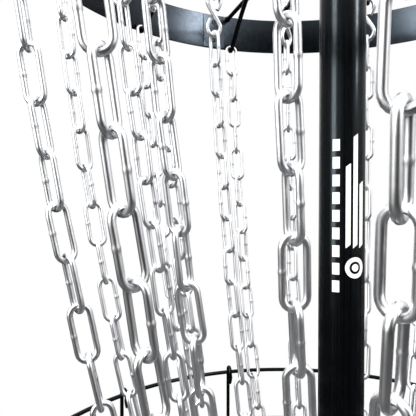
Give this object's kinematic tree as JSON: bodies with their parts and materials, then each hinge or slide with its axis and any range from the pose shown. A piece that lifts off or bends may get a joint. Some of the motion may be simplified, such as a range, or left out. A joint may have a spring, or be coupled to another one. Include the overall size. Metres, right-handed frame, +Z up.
{
  "type": "disc golf basket",
  "caption": "Portable disc golf basket: a pole on a ring base, a wire basket, and two rings of hanging chain under a sheet band.",
  "frame": {"origin": "on the ground, on the pole's axis", "axes": "+Z up along the pole; +Y from the pole to the first outer chain"},
  "size_m": [0.6796, 0.6792, 1.3843],
  "materials": {
    "black_powder_coat": "semi-gloss black powder coat with a fine orange-peel texture",
    "zinc_plate": "bright zinc plate, slightly uneven, darker at the links' welds",
    "black_rubber": "matt moulded rubber",
    "black_plastic": "satin moulded plastic",
    "white_vinyl": "thin white vinyl film on the pole"
  },
  "bodies": {
    "root": {"base_socket": "black_powder_coat", "base_ring": "black_powder_coat", "base_leg_01": "black_powder_coat", "base_leg_02": "black_powder_coat", "base_leg_03": "black_powder_coat", "base_leg_04": "black_powder_coat", "foot_01": "black_rubber", "foot_02": "black_rubber", "foot_03": "black_rubber", "foot_04": "black_rubber", "lower_pole": "black_powder_coat", "upper_pole": "black_powder_coat", "pole_cap": "black_plastic", "basket_rim": "black_powder_coat", "basket_rib_01": "black_powder_coat", "basket_rib_02": "black_powder_coat", "basket_rib_03": "black_powder_coat", "basket_rib_04": "black_powder_coat", "basket_rib_05": "black_powder_coat", "basket_rib_06": "black_powder_coat", "basket_rib_07": "black_powder_coat", "basket_rib_08": "black_powder_coat", "basket_rib_09": "black_powder_coat", "basket_rib_10": "black_powder_coat", "basket_rib_11": "black_powder_coat", "basket_rib_12": "black_powder_coat", "basket_upper_hoop": "black_powder_coat", "basket_lower_hoop": "black_powder_coat", "basket_outer_floor_hoop": "black_powder_coat", "basket_inner_floor_hoop": "black_powder_coat", "basket_hub": "black_powder_coat", "chain_band": "black_powder_coat", "chain_rack": "black_powder_coat", "chain_ring": "zinc_plate"},
    "basket_knob": {"basket_knob": "black_plastic"},
    "rack_knob": {"rack_knob": "black_plastic"},
    "chain_outer_01": {"chain_outer_01": "zinc_plate"},
    "chain_outer_02": {"chain_outer_02": "zinc_plate"},
    "chain_outer_03": {"chain_outer_03": "zinc_plate"},
    "chain_outer_04": {"chain_outer_04": "zinc_plate"},
    "chain_outer_05": {"chain_outer_05": "zinc_plate"},
    "chain_outer_06": {"chain_outer_06": "zinc_plate"},
    "chain_outer_07": {"chain_outer_07": "zinc_plate"},
    "chain_outer_08": {"chain_outer_08": "zinc_plate"},
    "chain_outer_09": {"chain_outer_09": "zinc_plate"},
    "chain_outer_10": {"chain_outer_10": "zinc_plate"},
    "chain_outer_11": {"chain_outer_11": "zinc_plate"},
    "chain_outer_12": {"chain_outer_12": "zinc_plate"},
    "chain_inner_01": {"chain_inner_01": "zinc_plate"},
    "chain_inner_02": {"chain_inner_02": "zinc_plate"},
    "chain_inner_03": {"chain_inner_03": "zinc_plate"},
    "chain_inner_04": {"chain_inner_04": "zinc_plate"},
    "chain_inner_05": {"chain_inner_05": "zinc_plate"},
    "chain_inner_06": {"chain_inner_06": "zinc_plate"},
    "chain_inner_07": {"chain_inner_07": "zinc_plate"},
    "chain_inner_08": {"chain_inner_08": "zinc_plate"},
    "chain_inner_09": {"chain_inner_09": "zinc_plate"},
    "chain_inner_10": {"chain_inner_10": "zinc_plate"},
    "chain_inner_11": {"chain_inner_11": "zinc_plate"},
    "chain_inner_12": {"chain_inner_12": "zinc_plate"}
  },
  "joints": [
    {"name": "basket_knob_turn", "type": "hinge", "parent": "root", "child": "basket_knob", "pos_m": [-0.01432, -0.0416, 0.607], "axis": [-0.3256, -0.9455, 0], "range_deg": [0, 540]},
    {"name": "rack_knob_turn", "type": "hinge", "parent": "root", "child": "rack_knob", "pos_m": [0.01577, 0.04108, 1.303], "axis": [0.3584, 0.9336, 0], "range_deg": [0, 540]},
    {"name": "outer_swing_01", "type": "hinge", "parent": "root", "child": "chain_outer_01", "pos_m": [0, 0.2635, 1.3039], "axis": [-0.0058, 0.2644, 0.9644], "range_deg": [-22, 22]},
    {"name": "outer_swing_02", "type": "hinge", "parent": "root", "child": "chain_outer_02", "pos_m": [0.13175, 0.2282, 1.3039], "axis": [0.1281, 0.2287, 0.965], "range_deg": [-22, 22]},
    {"name": "outer_swing_03", "type": "hinge", "parent": "root", "child": "chain_outer_03", "pos_m": [0.2282, 0.13175, 1.3039], "axis": [0.2263, 0.1306, 0.9653], "range_deg": [-22, 22]},
    {"name": "outer_swing_04", "type": "hinge", "parent": "root", "child": "chain_outer_04", "pos_m": [0.2635, 0, 1.3039], "axis": [0.2621, -0.0034, 0.965], "range_deg": [-22, 22]},
    {"name": "outer_swing_05", "type": "hinge", "parent": "root", "child": "chain_outer_05", "pos_m": [0.2282, -0.13175, 1.3039], "axis": [0.2261, -0.1372, 0.9644], "range_deg": [-22, 22]},
    {"name": "outer_swing_06", "type": "hinge", "parent": "root", "child": "chain_outer_06", "pos_m": [0.13175, -0.2282, 1.3039], "axis": [0.1279, -0.235, 0.9635], "range_deg": [-22, 22]},
    {"name": "outer_swing_07", "type": "hinge", "parent": "root", "child": "chain_outer_07", "pos_m": [0, -0.2635, 1.3039], "axis": [-0.0058, -0.2706, 0.9627], "range_deg": [-22, 22]},
    {"name": "outer_swing_08", "type": "hinge", "parent": "root", "child": "chain_outer_08", "pos_m": [-0.13175, -0.2282, 1.3039], "axis": [-0.1394, -0.2347, 0.962], "range_deg": [-22, 22]},
    {"name": "outer_swing_09", "type": "hinge", "parent": "root", "child": "chain_outer_09", "pos_m": [-0.2282, -0.13175, 1.3039], "axis": [-0.2371, -0.1369, 0.9618], "range_deg": [-22, 22]},
    {"name": "outer_swing_10", "type": "hinge", "parent": "root", "child": "chain_outer_10", "pos_m": [-0.2635, 0, 1.3039], "axis": [-0.2729, -0.0033, 0.962], "range_deg": [-22, 22]},
    {"name": "outer_swing_11", "type": "hinge", "parent": "root", "child": "chain_outer_11", "pos_m": [-0.2282, 0.13175, 1.3039], "axis": [-0.2373, 0.1303, 0.9627], "range_deg": [-22, 22]},
    {"name": "outer_swing_12", "type": "hinge", "parent": "root", "child": "chain_outer_12", "pos_m": [-0.13175, 0.2282, 1.3039], "axis": [-0.1396, 0.2283, 0.9635], "range_deg": [-22, 22]},
    {"name": "inner_swing_01", "type": "hinge", "parent": "root", "child": "chain_inner_01", "pos_m": [0.044, 0.18329, 1.329], "axis": [0.0307, 0.1487, 0.9884], "range_deg": [-22, 22]},
    {"name": "inner_swing_02", "type": "hinge", "parent": "root", "child": "chain_inner_02", "pos_m": [0.12976, 0.13673, 1.329], "axis": [0.1019, 0.1101, 0.9887], "range_deg": [-22, 22]},
    {"name": "inner_swing_03", "type": "hinge", "parent": "root", "child": "chain_inner_03", "pos_m": [0.18074, 0.05354, 1.329], "axis": [0.1442, 0.0411, 0.9887], "range_deg": [-22, 22]},
    {"name": "inner_swing_04", "type": "hinge", "parent": "root", "child": "chain_inner_04", "pos_m": [0.18329, -0.044, 1.329], "axis": [0.1463, -0.0398, 0.9884], "range_deg": [-22, 22]},
    {"name": "inner_swing_05", "type": "hinge", "parent": "root", "child": "chain_inner_05", "pos_m": [0.13673, -0.12976, 1.329], "axis": [0.1076, -0.1109, 0.988], "range_deg": [-22, 22]},
    {"name": "inner_swing_06", "type": "hinge", "parent": "root", "child": "chain_inner_06", "pos_m": [0.05354, -0.18074, 1.329], "axis": [0.0386, -0.1531, 0.9875], "range_deg": [-22, 22]},
    {"name": "inner_swing_07", "type": "hinge", "parent": "root", "child": "chain_inner_07", "pos_m": [-0.044, -0.18329, 1.329], "axis": [-0.0422, -0.1551, 0.987], "range_deg": [-22, 22]},
    {"name": "inner_swing_08", "type": "hinge", "parent": "root", "child": "chain_inner_08", "pos_m": [-0.12976, -0.13673, 1.329], "axis": [-0.1132, -0.1165, 0.9867], "range_deg": [-22, 22]},
    {"name": "inner_swing_09", "type": "hinge", "parent": "root", "child": "chain_inner_09", "pos_m": [-0.18074, -0.05354, 1.329], "axis": [-0.1554, -0.0476, 0.9867], "range_deg": [-22, 22]},
    {"name": "inner_swing_10", "type": "hinge", "parent": "root", "child": "chain_inner_10", "pos_m": [-0.18329, 0.044, 1.329], "axis": [-0.1575, 0.0331, 0.987], "range_deg": [-22, 22]},
    {"name": "inner_swing_11", "type": "hinge", "parent": "root", "child": "chain_inner_11", "pos_m": [-0.13673, 0.12976, 1.329], "axis": [-0.119, 0.1042, 0.9874], "range_deg": [-22, 22]},
    {"name": "inner_swing_12", "type": "hinge", "parent": "root", "child": "chain_inner_12", "pos_m": [-0.05354, 0.18074, 1.329], "axis": [-0.0501, 0.1465, 0.9879], "range_deg": [-22, 22]}
  ]
}
